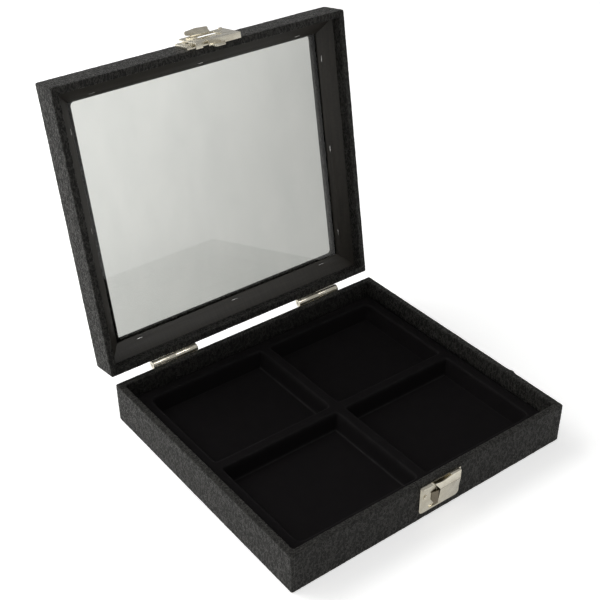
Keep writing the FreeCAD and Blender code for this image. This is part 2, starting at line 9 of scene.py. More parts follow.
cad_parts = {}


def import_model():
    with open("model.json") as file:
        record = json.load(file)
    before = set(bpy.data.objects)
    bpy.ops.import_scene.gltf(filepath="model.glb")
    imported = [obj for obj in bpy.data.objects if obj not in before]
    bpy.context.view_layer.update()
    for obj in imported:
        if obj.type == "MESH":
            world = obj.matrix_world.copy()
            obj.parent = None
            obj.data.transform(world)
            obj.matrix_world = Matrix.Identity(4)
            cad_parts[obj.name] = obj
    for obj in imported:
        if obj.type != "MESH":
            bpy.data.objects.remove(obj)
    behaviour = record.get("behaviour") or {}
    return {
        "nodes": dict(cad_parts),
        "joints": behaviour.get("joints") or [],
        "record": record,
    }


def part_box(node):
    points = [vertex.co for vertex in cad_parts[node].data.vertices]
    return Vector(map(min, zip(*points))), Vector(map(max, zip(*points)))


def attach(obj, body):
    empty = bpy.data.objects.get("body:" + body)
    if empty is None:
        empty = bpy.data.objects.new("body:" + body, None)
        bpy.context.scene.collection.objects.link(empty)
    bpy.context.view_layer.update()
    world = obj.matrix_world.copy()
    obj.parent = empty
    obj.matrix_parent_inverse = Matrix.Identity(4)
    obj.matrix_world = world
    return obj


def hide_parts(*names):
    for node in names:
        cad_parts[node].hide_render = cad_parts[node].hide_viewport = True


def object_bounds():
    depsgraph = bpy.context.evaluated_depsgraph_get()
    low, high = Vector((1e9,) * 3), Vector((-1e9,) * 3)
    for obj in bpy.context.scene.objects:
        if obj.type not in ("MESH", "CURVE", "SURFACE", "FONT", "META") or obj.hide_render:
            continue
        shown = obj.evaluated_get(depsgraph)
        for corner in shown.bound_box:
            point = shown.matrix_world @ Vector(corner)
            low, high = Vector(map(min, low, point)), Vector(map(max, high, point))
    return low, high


# Hinged glass-top collection case. Metres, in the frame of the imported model: X is the width,
# -Y the front with the catch, +Y the hinge side, +Z up. The lid stands open.

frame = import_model()
cad_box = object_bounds()
nodes = frame["nodes"]
scene = bpy.context.scene
mm = 0.001

# The view, fitted to the photograph's edges
camera_place = (-0.3436, -0.4208, 0.4592)
camera_turn_degrees = (54.1105, 0.3472, -37.0371)
camera_lens = 66.36
camera_shift = (0.0018, 0.0752)

# Light, all of it white
world_light = 0.20
world_in_gloss = 0.34
background_white = 1.0
floor_colour = (0.80, 0.80, 0.79, 1)
floor_glow = 0.58
floor_glow_in_gloss = 0.26
# Painted shade: the floor's glow seen through the glass is weak near the case and strong far off, along a
# slanted line
floor_glow_in_glass = (0.03, 0.45)
glass_glow_reach_mm = (60.0, 440.0)
glass_glow_slant = 0.85
floor_mottle = 1.02
floor_half = 6.0
floor_gap = 0.02 * mm
# Each lamp's name, place, target, size and watts
lamps = (
    ("key_behind_left", (-0.55, 0.95, 1.15), (0, 0.03, 0.08), (1.3, 0.9), 17),
    ("left_fill", (-1.25, 0.10, 0.60), (0, 0, 0.08), (0.8, 0.9), 3),
    ("front_top_panel", (0.33, -0.46, 1.22), (0, 0, 0.05), (0.5, 0.35), 1.8),
)

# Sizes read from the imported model, in metres, with the lid turned shut
hinge = next(joint for joint in frame["joints"] if joint["name"] == "lid_hinge")
hinge_place = Vector(hinge["pos_m"])
open_angle = math.radians(hinge["range_deg"][1])


def shut(vectors):
    """Points of the open lid, turned shut about the hinge."""
    return turn_about_hinge(vectors, open_angle)


def turn_about_hinge(vectors, angle):
    """Points turned about the hinge's axis by an angle in radians."""
    moved = np.array(vectors, float) - np.array(hinge_place)
    c, s = math.cos(angle), math.sin(angle)
    y = moved[:, 1] * c - moved[:, 2] * s
    z = moved[:, 1] * s + moved[:, 2] * c
    return np.column_stack([moved[:, 0], y, z]) + np.array(hinge_place)


def points_of(node):
    """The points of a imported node, as rows of an array."""
    mesh = nodes[node].data
    flat = np.zeros(len(mesh.vertices) * 3, np.float32)
    mesh.vertices.foreach_get("co", flat)
    return flat.reshape(-1, 3).astype(float)


def shut_box(node):
    """The lowest and highest corners of a node of the lid, with the lid turned shut."""
    points = shut(points_of(node))
    return Vector(points.min(0)), Vector(points.max(0))


base_low, base_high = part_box("base_wrap")
lid_low, lid_high = shut_box("lid_wrap")
half_x, half_y = base_high.x, base_high.y
board_low, board_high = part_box("base_left_board")
cover = board_low.x - base_low.x
wall = board_high.x - base_low.x + cover
window_inset_x = shut_box("lid_left_lip")[1].x + half_x + cover
window_inset_y = shut_box("lid_front_lip")[1].y + half_y + cover
glass_low, glass_high = shut_box("glass_pane")

# Covering: rounding of its edges, spacing of its points and depth of its relief
edge_round = 0.9 * mm
corner_round = 1.3 * mm
inner_corner_round = 1.6 * mm
lid_inner_corner_round = 0.6 * mm
window_corner_round = 2.5 * mm
hem_round = 0.25 * mm
skin_step = 0.8 * mm
hidden_step = 6.0 * mm
relief_slow = 0.07
relief_grain = 0.11
relief_fine = 0.05
relief_bias = -0.06
slow_size_mm = 13.0
grain_size_mm = 2.3
fine_size_mm = 1.3
grain_slope = 2.2
grain_middle = 0.6
least_corner_round = 0.3 * mm
base_inside_fine_reach = 11 * mm
lid_inside_plain_reach = 6 * mm
fold_depth = 0.14 * mm
pucker_place = (half_x, -0.050, base_high.z)
pucker_height = 0.75 * mm
pucker_half_length = 2.6 * mm
pucker_half_width = 2.0 * mm
pucker_falloff = 2.0

# Hard pieces: joining of their points and easing of their edges, angles in degrees
weld_distance = 0.002 * mm
island_distance = 0.001 * mm
flat_angle = 0.6
eased_angle = 34
sharp_angle = 31
eased_segments = 3

# Leaf spring of the keeper
leaf_sheet = 0.4 * mm
leaf_side_gap = 0.9 * mm
leaf_foot_cut = 2.6 * mm
leaf_cut_height = 0.42
leaf_sharp_angle = 40

# Insert
tray_divider = 6.6 * mm
tray_border = 7.6 * mm
tray_depth = 10.1 * mm
tray_lean = 4.2 * mm
tray_edge_round = 1.5 * mm
tray_foot_round = 0.7 * mm
tray_mouth_round = 2.6 * mm
tray_outer_round = 6.0 * mm
tray_floor_round = 0.9 * mm
tray_corner_round = 3.0 * mm
tray_skin = 0.9 * mm
tray_sag = 0.35 * mm
tray_sag_reach = 2.2 * mm
tray_wave = 0.10 * mm
tray_wave_size = 26 * mm
# Painted highlight lines on the flock, along the foot and the brow of each wall
foot_line_in = 0.15 * mm
foot_line_half = 0.42 * mm
brow_line_half = 0.8 * mm
brow_line_share = 0.45
tray_fine_step = 0.38 * mm
fine_margin_at_brow = 0.4 * mm
fine_margin_at_foot = 3.0 * mm
same_line_share = 0.1
tray_coarse_step = 3.2 * mm


# Small helpers for shader nodes
class Shader:
    """A material's node tree, with short calls to add and join nodes."""

    def __init__(self, name):
        self.material = bpy.data.materials.new(name)
        self.material.use_nodes = True
        self.tree = self.material.node_tree
        self.tree.nodes.clear()
        self.out = self.add("ShaderNodeOutputMaterial")

    def add(self, kind, **settings):
        node = self.tree.nodes.new(kind)
        for key, value in settings.items():
            setattr(node, key, value)
        return node

    def join(self, source, target):
        self.tree.links.new(source, target)

    def place(self, stretch=(1, 1, 1)):
        """Coordinates on the object in millimetres, stretched by a factor on each axis."""
        coordinate = self.add("ShaderNodeTexCoord")
        mapping = self.add("ShaderNodeMapping")
        mapping.inputs["Scale"].default_value = [1000 * s for s in stretch]
        self.join(coordinate.outputs["Object"], mapping.inputs["Vector"])
        return mapping.outputs["Vector"]

    def noise(self, vector, scale, detail=2.0, rough=0.5, colour=False):
        node = self.add("ShaderNodeTexNoise")
        node.inputs["Scale"].default_value = scale
        node.inputs["Detail"].default_value = detail
        node.inputs["Roughness"].default_value = rough
        self.join(vector, node.inputs["Vector"])
        return node.outputs["Color" if colour else "Fac"]

    def math(self, operation, a, b=0.0):
        node = self.add("ShaderNodeMath", operation=operation)
        for socket, value in zip(node.inputs, (a, b)):
            if isinstance(value, (int, float)):
                socket.default_value = value
            else:
                self.join(value, socket)
        return node.outputs[0]

    def shift(self, vector, push, amount):
        """Move coordinates by a colour noise, in millimetres."""
        centred = self.add("ShaderNodeVectorMath", operation="SUBTRACT")
        self.join(push, centred.inputs[0])
        centred.inputs[1].default_value = (0.5, 0.5, 0.5)
        scaled = self.add("ShaderNodeVectorMath", operation="SCALE")
        self.join(centred.outputs[0], scaled.inputs[0])
        scaled.inputs["Scale"].default_value = amount
        added = self.add("ShaderNodeVectorMath", operation="ADD")
        self.join(vector, added.inputs[0])
        self.join(scaled.outputs[0], added.inputs[1])
        return added.outputs[0]

    def spread(self, value, low, high, start=0.0, end=1.0):
        """Map a value from low..high to start..end, smoothly."""
        node = self.add("ShaderNodeMapRange", interpolation_type="SMOOTHSTEP")
        self.join(value, node.inputs["Value"])
        for name, number in (("From Min", low), ("From Max", high), ("To Min", start), ("To Max", end)):
            node.inputs[name].default_value = number
        return node.outputs["Result"]

    def mix(self, factor, first, second):
        node = self.add("ShaderNodeMix", data_type="RGBA")
        self.join(factor, node.inputs["Factor"])
        for index, value in ((6, first), (7, second)):
            if isinstance(value, tuple):
                node.inputs[index].default_value = value
            else:
                self.join(value, node.inputs[index])
        return node.outputs[2]

    def select(self, factor, first, second):
        """The first value where the factor is 0, the second where it is 1."""
        node = self.add("ShaderNodeMix", data_type="FLOAT")
        for index, value in ((0, factor), (2, first), (3, second)):
            self.join(value, node.inputs[index])
        return node.outputs[0]

    def bump(self, height, distance, strength=1.0):
        """A bumped normal. The distance is in millimetres."""
        node = self.add("ShaderNodeBump")
        node.inputs["Distance"].default_value = distance * mm
        node.inputs["Strength"].default_value = strength
        self.join(height, node.inputs["Height"])
        return node.outputs["Normal"]

    def surface(self, **values):
        """The principled shader. A value is a number, a colour or a node's output."""
        shader = self.add("ShaderNodeBsdfPrincipled")
        for name, value in values.items():
            socket = shader.inputs[name.replace("_", " ")]
            if isinstance(value, bpy.types.NodeSocket):
                self.join(value, socket)
            else:
                socket.default_value = value
        self.join(shader.outputs["BSDF"], self.out.inputs["Surface"])
        return self.material


# Materials
def leatherette():
    """Black crepe-grained covering: close upright crinkles with rubbed, shinier tops."""
    s = Shader("black_crepe_leatherette")
    place = s.place((1.0, 1.0, 0.55))
    bent = s.shift(place, s.noise(place, 0.45, 2, 0.5, colour=True), 1.6)
    ridge = s.math("ABSOLUTE", s.math("SUBTRACT", s.noise(bent, 0.40, 2, 0.55), 0.5))
    ridge = s.spread(ridge, 0.0, 0.11, 1.0, 0.0)
    small = s.math("ABSOLUTE", s.math("SUBTRACT", s.noise(bent, 0.95, 2, 0.5), 0.5))
    small = s.spread(small, 0.0, 0.10, 1.0, 0.0)
    fine = s.noise(place, 3.2, 2, 0.6)
    height = s.math("ADD", s.math("MULTIPLY", ridge, 0.55), s.math("MULTIPLY", small, 0.40))
    height = s.math("ADD", height, s.math("MULTIPLY", fine, 0.20))
    patches = s.noise(place, 0.035, 3, 0.55)
    dark = s.mix(patches, (0.0036, 0.0035, 0.0036, 1), (0.0070, 0.0068, 0.0066, 1))
    colour = s.mix(s.spread(height, 0.25, 0.95), dark, (0.044, 0.042, 0.0375, 1))
    rough = s.spread(height, 0.2, 1.0, 0.66, 0.28)
    normal = s.bump(height, 1.05)
    tint = (1.0, 0.985, 0.93, 1)
    return s.surface(Base_Color=colour, Roughness=rough, Normal=normal, IOR=1.42, Specular_Tint=tint)


def flock():
    """Short black flocking on the formed insert, made paler by a painted highlight where the mesh's point
    attribute says so.
    """
    s = Shader("black_flock")
    place = s.place()
    fibres = s.noise(place, 5.5, 3, 0.7)
    brushed = s.noise(place, 0.12, 3, 0.6)
    colour = s.mix(brushed, (0.0044, 0.0038, 0.0041, 1), (0.0078, 0.0068, 0.0072, 1))
    colour = s.mix(s.spread(fibres, 0.62, 0.8), colour, (0.012, 0.0115, 0.0115, 1))
    painted_highlight_attribute = s.add("ShaderNodeAttribute", attribute_name="painted_highlight")
    painted_highlight_patches = s.spread(s.noise(place, 0.09, 3, 0.6), 0.25, 0.75, 0.35, 1.0)
    painted_highlight_share = s.math("MULTIPLY", painted_highlight_attribute.outputs["Fac"], painted_highlight_patches)
    # Painted highlight: paler flock along the foot and the brow of each wall
    colour = s.mix(painted_highlight_share, colour, (0.026, 0.025, 0.025, 1))
    normal = s.bump(fibres, 0.18, 0.7)
    return s.surface(Base_Color=colour, Roughness=0.96, Normal=normal, Specular_IOR_Level=0.08)


def nickel():
    """Warm nickel plate on pressed sheet, satin with faint rubbing and dulled patches."""
    s = Shader("warm_nickel")
    rubbed = s.noise(s.place((0.5, 0.5, 6.0)), 0.9, 3, 0.55)
    cloud = s.noise(s.place(), 0.20, 4, 0.6)
    colour = s.mix(s.spread(cloud, 0.3, 0.7), (0.76, 0.705, 0.575, 1), (0.91, 0.865, 0.735, 1))
    rough = s.math("ADD", s.spread(cloud, 0.3, 0.7, 0.15, 0.21), s.math("MULTIPLY", rubbed, 0.06))
    normal = s.bump(s.math("ADD", rubbed, s.math("MULTIPLY", cloud, 0.8)), 0.05, 0.5)
    return s.surface(Base_Color=colour, Metallic=1.0, Roughness=rough, Normal=normal)


def steel(name, colour_low, colour_high, rough_low, rough_high):
    """Drawn steel with fine lines along X, between two shades and two roughnesses."""
    s = Shader(name)
    drawn = s.noise(s.place((1.0, 8.0, 8.0)), 1.1, 3, 0.6)
    colour = s.mix(drawn, colour_low, colour_high)
    normal = s.bump(drawn, 0.02, 0.5)
    rough = s.spread(drawn, 0.3, 0.7, rough_low, rough_high)
    return s.surface(Base_Color=colour, Metallic=1.0, Roughness=rough, Normal=normal)


def clear_glass():
    """Picture glass tinted grey as painted shade for the backdrop seen through it, with the faintest cloud
    of handling marks in its polish.
    """
    s = Shader("clear_picture_glass")
    smear = s.noise(s.place((1.0, 0.4, 0.4)), 0.05, 4, 0.6)
    # Painted shade: the grey tint darkens everything that shows through the glass
    tint = s.mix(smear, (0.585, 0.598, 0.575, 1), (0.690, 0.694, 0.665, 1))
    rough = s.spread(smear, 0.35, 0.75, 0.0, 0.02)
    return s.surface(Base_Color=tint, Roughness=rough, Transmission_Weight=1.0, IOR=1.5)


def stained_bead():
    """Thin dark strip with a satin face and a grain drawn out along it."""
    s = Shader("stained_bead")
    along = s.noise(s.place((0.05, 1.2, 1.2)), 0.9, 4, 0.65)
    cross = s.noise(s.place((1.2, 0.05, 0.05)), 0.9, 4, 0.65)
    streak = s.math("MULTIPLY", s.math("ADD", along, cross), 0.5)
    colour = s.mix(s.spread(streak, 0.3, 0.7), (0.021, 0.0185, 0.0150, 1), (0.045, 0.0395, 0.031, 1))
    normal = s.bump(streak, 0.06, 0.6)
    return s.surface(Base_Color=colour, Roughness=s.spread(streak, 0.3, 0.7, 0.42, 0.58), Normal=normal)


def bare_board():
    """Light close-grained timber, hidden under the covering."""
    s = Shader("bare_board")
    place = s.place((0.08, 0.9, 0.9))
    rings = s.noise(place, 0.8, 5, 0.6)
    pores = s.noise(s.place((0.5, 5.0, 5.0)), 1.0, 2, 0.5)
    colour = s.mix(s.spread(rings, 0.3, 0.7), (0.33, 0.22, 0.12, 1), (0.52, 0.39, 0.24, 1))
    colour = s.mix(s.spread(pores, 0.6, 0.75), colour, (0.25, 0.16, 0.09, 1))
    return s.surface(Base_Color=colour, Roughness=0.7, Normal=s.bump(pores, 0.1, 0.5))


def lining_paper():
    """Dull black paper with a soft fibre mottle."""
    s = Shader("lining_paper")
    mottle = s.noise(s.place(), 1.4, 4, 0.65)
    colour = s.mix(mottle, (0.010, 0.010, 0.010, 1), (0.022, 0.022, 0.022, 1))
    return s.surface(Base_Color=colour, Roughness=0.9, Normal=s.bump(mottle, 0.05, 0.6))


skin = leatherette()
flocked = flock()
plate = nickel()
pin_steel = steel("pin_steel", (0.50, 0.47, 0.41, 1), (0.64, 0.61, 0.55, 1), 0.28, 0.40)
spring_steel = steel("spring_steel", (0.15, 0.125, 0.09, 1), (0.34, 0.30, 0.23, 1), 0.20, 0.36)
staple_wire = steel("staple_wire", (0.76, 0.75, 0.72, 1), (0.88, 0.87, 0.85, 1), 0.16, 0.26)
glass = clear_glass()
bead = stained_bead()
board = bare_board()
paper = lining_paper()

material_of_slot = {
    "board": board,
    "leatherette": skin,
    "lining_paper": paper,
    "flocked_plastic": flocked,
    "clear_glass": glass,
    "stained_bead": bead,
    "staple_wire": staple_wire,
    "nickel": plate,
    "pin_steel": pin_steel,
    "spring_steel": spring_steel,
}


def dress_nodes():
    """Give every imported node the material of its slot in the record."""
    for part in frame["record"]["subparts"]:
        node = nodes[part["node"]]
        for index in range(max(1, len(node.material_slots))):
            if not node.material_slots:
                node.data.materials.append(None)
            node.material_slots[index].material = material_of_slot[part["material_slot"]]


dress_nodes()


# Pieces
def new_piece(name, vertices, faces, material, body, slot, *replaced):
    """A smooth-shaded piece that rides on a body and stands for CAD nodes."""
    mesh = bpy.data.meshes.new(name)
    mesh.from_pydata([tuple(v) for v in vertices], [], faces)
    mesh.polygons.foreach_set("use_smooth", [True] * len(mesh.polygons))
    mesh.materials.append(material)
    mesh.update()
    piece = bpy.data.objects.new(name, mesh)
    scene.collection.objects.link(piece)
    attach(piece, body)
    if replaced:
        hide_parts(*replaced)
    return piece


def vertex_normals(vertices, faces):
    """The smooth normal at each point of a mesh that isn't kept."""
    mesh = bpy.data.meshes.new("normals")
    mesh.from_pydata([tuple(v) for v in vertices], [], faces)
    flat = np.zeros(len(vertices) * 3, np.float32)
    mesh.vertex_normals.foreach_get("vector", flat)
    bpy.data.meshes.remove(mesh)
    return flat.reshape(-1, 3).astype(float)


def sheet_faces(rows, columns):
    """Faces of a sheet's front and back grids, and the front's points in order round its edge."""
    count = rows * columns
    faces = []
    for row in range(rows - 1):
        for column in range(columns - 1):
            a = row * columns + column
            quad = (a, a + 1, a + 1 + columns, a + columns)
            faces.append(quad)
            faces.append(tuple(count + i for i in reversed(quad)))
    rim = list(range(columns))
    rim += [row * columns + columns - 1 for row in range(1, rows)]
    rim += [(rows - 1) * columns + column for column in range(columns - 2, -1, -1)]
    rim += [row * columns for row in range(rows - 2, 0, -1)]
    return faces, rim


def straight(start, end, step):
    """Points from start up to, but without, end."""
    start, end = np.array(start, float), np.array(end, float)
    count = max(1, round(float(np.linalg.norm(end - start)) / step))
    return [tuple(start + (end - start) * i / count) for i in range(count)]


def bend(centre, radius, start, end, count=4):
    """An arc from angle start up to, but without, end, in degrees."""
    angles = [math.radians(start + (end - start) * i / count) for i in range(count)]
    return [(centre[0] + radius * math.cos(a), centre[1] + radius * math.sin(a)) for a in angles]


def loop_round(inset_x, inset_y, radius, z):
    """Points round the case at an inset from its outer faces, the same count at every inset."""
    across, along = half_x - inset_x, half_y - inset_y
    count_x = round(2 * half_x / skin_step)
    count_y = round(2 * half_y / skin_step)
    corner_steps = 4
    points = []
    corners = ((1, -1, -90), (1, 1, 0), (-1, 1, 90), (-1, -1, 180))
    for index, (sx, sy, start) in enumerate(corners):
        centre = (sx * (across - radius), sy * (along - radius))
        for step in range(corner_steps + 1):
            angle = math.radians(start + 90 * step / corner_steps)
            x = centre[0] + radius * math.cos(angle)
            y = centre[1] + radius * math.sin(angle)
            points.append((x, y, z, step))
        nx, ny, following = corners[(index + 1) % 4]
        angle = math.radians(following)
        target = (nx * (across - radius) + radius * math.cos(angle),
                  ny * (along - radius) + radius * math.sin(angle))
        count = count_y if index % 2 == 0 else count_x
        last = points[-1]
        for step in range(1, count):
            part = step / count
            x = last[0] + (target[0] - last[0]) * part
            y = last[1] + (target[1] - last[1]) * part
            points.append((x, y, z, -1))
    return points


def crackle(place):
    """Relief of the covering in millimetres at a place on it."""
    p = place / mm
    slow = noise.noise(p / slow_size_mm)
    fine = noise.noise(p / fine_size_mm)
    near = noise.voronoi(p / grain_size_mm)[0]
    grain = min(1.0, (near[1] - near[0]) * grain_slope) - grain_middle
    return relief_bias + relief_slow * slow + relief_grain * grain + relief_fine * fine


def skin_mesh(profile, seen, folds, inner_round, loose):
    """Sweep a closed profile round the case. seen is how many of its first points show."""
    vertices, kinds = [], []
    for row, (inset, z) in enumerate(profile):
        t = min(1.0, max(0.0, (inset - wall) / (window_inset_x - edge_round - wall)))
        inset_y = inset - t * (window_inset_x - window_inset_y)
        radius = corner_radius(inset, inner_round) * (1 - t) + window_corner_round * t
        for x, y, level, corner in loop_round(inset, inset_y, radius, z):
            vertices.append((x, y, level))
            kinds.append((row, corner))
    around = len(vertices) // len(profile)
    faces = []
    for row in range(len(profile)):
        above = (row + 1) % len(profile)
        for i in range(around):
            j = (i + 1) % around
            faces.append((row * around + i, row * around + j, above * around + j, above * around + i))
    vertices = np.array(vertices)
    normals = vertex_normals(vertices, faces)
    for index, (row, corner) in enumerate(kinds):
        if row >= seen:
            continue
        lift = crackle(Vector(vertices[index])) * mm
        if corner == 2 and folds[0] < profile[row][0] < folds[1]:
            lift -= fold_depth
        if loose:
            lift += pucker(vertices[index])
        vertices[index] += normals[index] * lift
    return vertices, faces


def corner_radius(inset, inner_round):
    """The rounding of the plan's corner, from the outer faces to the inner ones."""
    part = min(1.0, inset / wall)
    return max(corner_round - inset, least_corner_round) * (1 - part) + inner_round * part


def pucker(place):
    """A small loose lift of the covering on the base's right edge."""
    away = (np.array(place) - pucker_place) / (pucker_half_width, pucker_half_length, pucker_half_width)
    return pucker_height * math.exp(-pucker_falloff * float(away @ away))


def base_leatherette():
    """The base's covering: up the outside, over the rim and down the inside of the walls."""
    top, low = base_high.z, base_low.z
    inside_low = board_low.z
    r = edge_round
    profile = bend((hem_round, low + hem_round), hem_round, 270, 180, 2)
    profile += straight((0, low + hem_round), (0, top - r), skin_step)
    profile += bend((r, top - r), r, 180, 90)
    profile += straight((r, top), (wall - r, top), skin_step)
    profile += bend((wall - r, top - r), r, 90, 0)
    profile += straight((wall, top - r), (wall, top - base_inside_fine_reach), skin_step)
    profile += straight((wall, top - base_inside_fine_reach), (wall, inside_low), hidden_step)
    seen = len(profile)
    profile += [(wall, inside_low), (wall - cover, inside_low)]
    profile += [(wall - cover, top - cover), (cover, top - cover), (cover, low)]
    vertices, faces = skin_mesh(profile, seen, (r, wall - r), inner_corner_round, True)
    new_piece("base_leatherette", vertices, faces, skin, "base", "leatherette", "base_wrap")


def lid_leatherette():
    """The lid's covering, from inside the walls over the rim and the top to the window's lip."""
    top, rim = lid_high.z, lid_low.z
    lip = glass_high.z
    r = edge_round
    far = window_inset_x
    profile = straight((wall, glass_low.z), (wall, glass_low.z - lid_inside_plain_reach), hidden_step)
    profile += straight((wall, glass_low.z - lid_inside_plain_reach), (wall, rim + r), skin_step)
    profile += bend((wall - r, rim + r), r, 0, -90)
    profile += straight((wall - r, rim), (r, rim), skin_step)
    profile += bend((r, rim + r), r, -90, -180)
    profile += straight((0, rim + r), (0, top - r), skin_step)
    profile += bend((r, top - r), r, 180, 90)
    profile += straight((r, top), (far - r, top), skin_step)
    profile += bend((far - r, top - r), r, 90, 0)
    profile += straight((far, top - r), (far, lip), skin_step)
    seen = len(profile)
    board_face = wall - cover
    profile += [(far, lip), (board_face, lip), (board_face, lip + cover), (far - cover, lip + cover)]
    profile += [(far - cover, top - cover), (cover, top - cover), (cover, rim + cover)]
    profile += [(board_face, rim + cover), (board_face, glass_low.z)]
    vertices, faces = skin_mesh(profile, seen, (r, far - r), lid_inner_corner_round, False)
    vertices = turn_about_hinge(vertices, -open_angle)
    new_piece("lid_leatherette", vertices, faces, skin, "lid", "leatherette", "lid_wrap")


def softened(node, body, material, edge, name):
    """A finished copy of a hard piece, with its edges eased as pressing or planing leaves them."""
    mesh = nodes[node].data.copy()
    piece = bpy.data.objects.new(name, mesh)
    scene.collection.objects.link(piece)
    weld = piece.modifiers.new("weld", "WELD")
    weld.merge_threshold = weld_distance
    flat = piece.modifiers.new("flat", "DECIMATE")
    flat.decimate_type = "DISSOLVE"
    flat.angle_limit = math.radians(flat_angle)
    eased = piece.modifiers.new("eased", "BEVEL")
    eased.width = edge
    eased.segments = eased_segments
    eased.limit_method = "ANGLE"
    eased.angle_limit = math.radians(eased_angle)
    eased.use_clamp_overlap = True
    depsgraph = bpy.context.evaluated_depsgraph_get()
    applied = bpy.data.meshes.new_from_object(piece.evaluated_get(depsgraph))
    piece.modifiers.clear()
    piece.data = applied
    applied.polygons.foreach_set("use_smooth", [True] * len(applied.polygons))
    applied.set_sharp_from_angle(angle=math.radians(sharp_angle))
    applied.materials.clear()
    applied.materials.append(material)
    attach(piece, body)
    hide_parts(node)


def islands(node):
    """The points of each separate solid in a node."""
    made = bmesh.new()
    made.from_mesh(nodes[node].data)
    bmesh.ops.remove_doubles(made, verts=made.verts, dist=island_distance)
    found, seen = [], set()
    for start in made.verts:
        if start in seen:
            continue
        group, front = [], [start]
        seen.add(start)
        while front:
            vertex = front.pop()
            group.append(tuple(vertex.co))
            for edge in vertex.link_edges:
                other = edge.other_vert(vertex)
                if other not in seen:
                    seen.add(other)
                    front.append(other)
        found.append(np.array(group))
    made.free()
    return found


def tube(path, radii, sides=10):
    """A closed tube of an oval section along a path. The second radius is along Z."""
    vertices, faces = [], []
    for index, point in enumerate(path):
        ahead = path[min(index + 1, len(path) - 1)]
        behind = path[max(index - 1, 0)]
        along = (Vector(ahead) - Vector(behind)).normalized()
        up = Vector((0, 0, 1))
        side = along.cross(up).normalized()
        for step in range(sides):
            angle = 2 * math.pi * step / sides
            offset = side * radii[0] * math.cos(angle) + up * radii[1] * math.sin(angle)
            vertices.append(Vector(point) + offset)
    for index in range(len(path) - 1):
        for step in range(sides):
            a = index * sides + step
            b = index * sides + (step + 1) % sides
            faces.append((a, b, b + sides, a + sides))
    faces.append(tuple(reversed(range(sides))))
    faces.append(tuple(range(len(vertices) - sides, len(vertices))))
    return vertices, faces


def bent_staples():
    """Round wire staples, each with its crown on the bead and its legs in the wall."""
    wire = (0.30 * mm, 0.42 * mm)
    turn = 0.7 * mm
    vertices, faces = [], []
    for group in islands("bead_staples"):
        placed = shut(group)
        low, high = placed.min(0), placed.max(0)
        size = high - low
        middle = (low + high) / 2
        out = 1 if size[1] > size[0] else 0
        cross = 1 - out
        side = 1 if middle[out] > 0 else -1
        deep = high[out] if side > 0 else low[out]
        face = low[out] if side > 0 else high[out]
        crown = face + side * wire[0]
        half = size[cross] / 2 - wire[0]
        flat = [(deep, -half), (crown + side * turn, -half)]
        flat += [(crown + side * turn * (1 - math.sin(a)), -half + turn * (1 - math.cos(a)))
                 for a in (math.radians(d) for d in (22, 45, 68, 90))]
        flat += [(d, -across) for d, across in reversed(flat)]
        path = []
        for d, across in flat:
            point = [0, 0, middle[2]]
            point[out] = d
            point[cross] = middle[cross] + across
            path.append(point)
        made, sides = tube(path, wire)
        start = len(vertices)
        vertices += made
        faces += [tuple(start + i for i in face_points) for face_points in sides]
    vertices = turn_about_hinge(vertices, -open_angle)
    new_piece("glazing_staples", vertices, faces, staple_wire, "lid", "staple_wire", "bead_staples")


def keeper_leaf():
    """The bowed leaf spring in the keeper's opening, cut away at a slant at its foot."""
    low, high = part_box("keeper_spring_leaf")
    rows, columns = 9, 15
    front, back = [], []
    for row in range(rows):
        rise = row / (rows - 1)
        left = low.x + leaf_side_gap + leaf_foot_cut * max(0.0, 1 - rise / leaf_cut_height)
        for column in range(columns):
            x = left + (high.x - left) * column / (columns - 1)
            part = (x - low.x) / (high.x - low.x)
            bow = part * part * (3 - 2 * part)
            y = high.y - leaf_sheet - (high.y - low.y - leaf_sheet) * bow
            z = low.z + (high.z - low.z) * rise
            front.append((x, y, z))
            back.append((x, y + leaf_sheet, z))
    count = rows * columns
    faces, rim = sheet_faces(rows, columns)
    for i, first in enumerate(rim):
        second = rim[(i + 1) % len(rim)]
        faces.append((second, first, count + first, count + second))
    made = new_piece("keeper_leaf", front + back, faces, spring_steel,
                     "base", "spring_steel", "keeper_spring_leaf")
    made.data.set_sharp_from_angle(angle=math.radians(leaf_sharp_angle))


def grid_lines(half):
    """Places of the insert's grid lines on one axis, close together over each sloping wall."""
    lines = {-half, half, 0.0}
    for side in (-1, 1):
        for edge, direction in ((tray_divider / 2, 1), (half - tray_border, -1)):
            start = edge - direction * (tray_edge_round + fine_margin_at_brow)
            end = edge + direction * (tray_lean + tray_foot_round + fine_margin_at_foot)
            low, high = sorted((start, end))
            count = round((high - low) / tray_fine_step)
            lines.update(side * (low + (high - low) * i / count) for i in range(count + 1))
    ordered = sorted(lines)
    filled = []
    for first, second in zip(ordered, ordered[1:]):
        if second - first < same_line_share * tray_fine_step:
            continue
        count = max(1, math.ceil((second - first) / tray_coarse_step))
        filled += [first + (second - first) * i / count for i in range(count)]
    return filled + [ordered[-1]]


def fall_at(x, y, outer_x, outer_y):
    """How far the flat sides of a compartment have fallen at a place, before any rounding."""
    inner = tray_divider / 2
    middle = ((inner + outer_x) / 2, (inner + outer_y) / 2)
    outer_corner = abs(x) > middle[0] and abs(y) > middle[1]
    reach = (abs(abs(x) - middle[0]), abs(abs(y) - middle[1]))
    wide = ((outer_x - inner) / 2, (outer_y - inner) / 2)
    edge = min(wide[0] - reach[0], wide[1] - reach[1])
    mouth = tray_outer_round if outer_corner else tray_mouth_round
    down = min(1.0, max(0.0, edge / tray_lean))
    radius = mouth * (1 - down) + tray_floor_round * down
    away = (reach[0] - wide[0] + radius, reach[1] - wide[1] + radius)
    outside = math.hypot(max(away[0], 0), max(away[1], 0)) + min(max(away), 0)
    return (radius - outside) * tray_depth / tray_lean


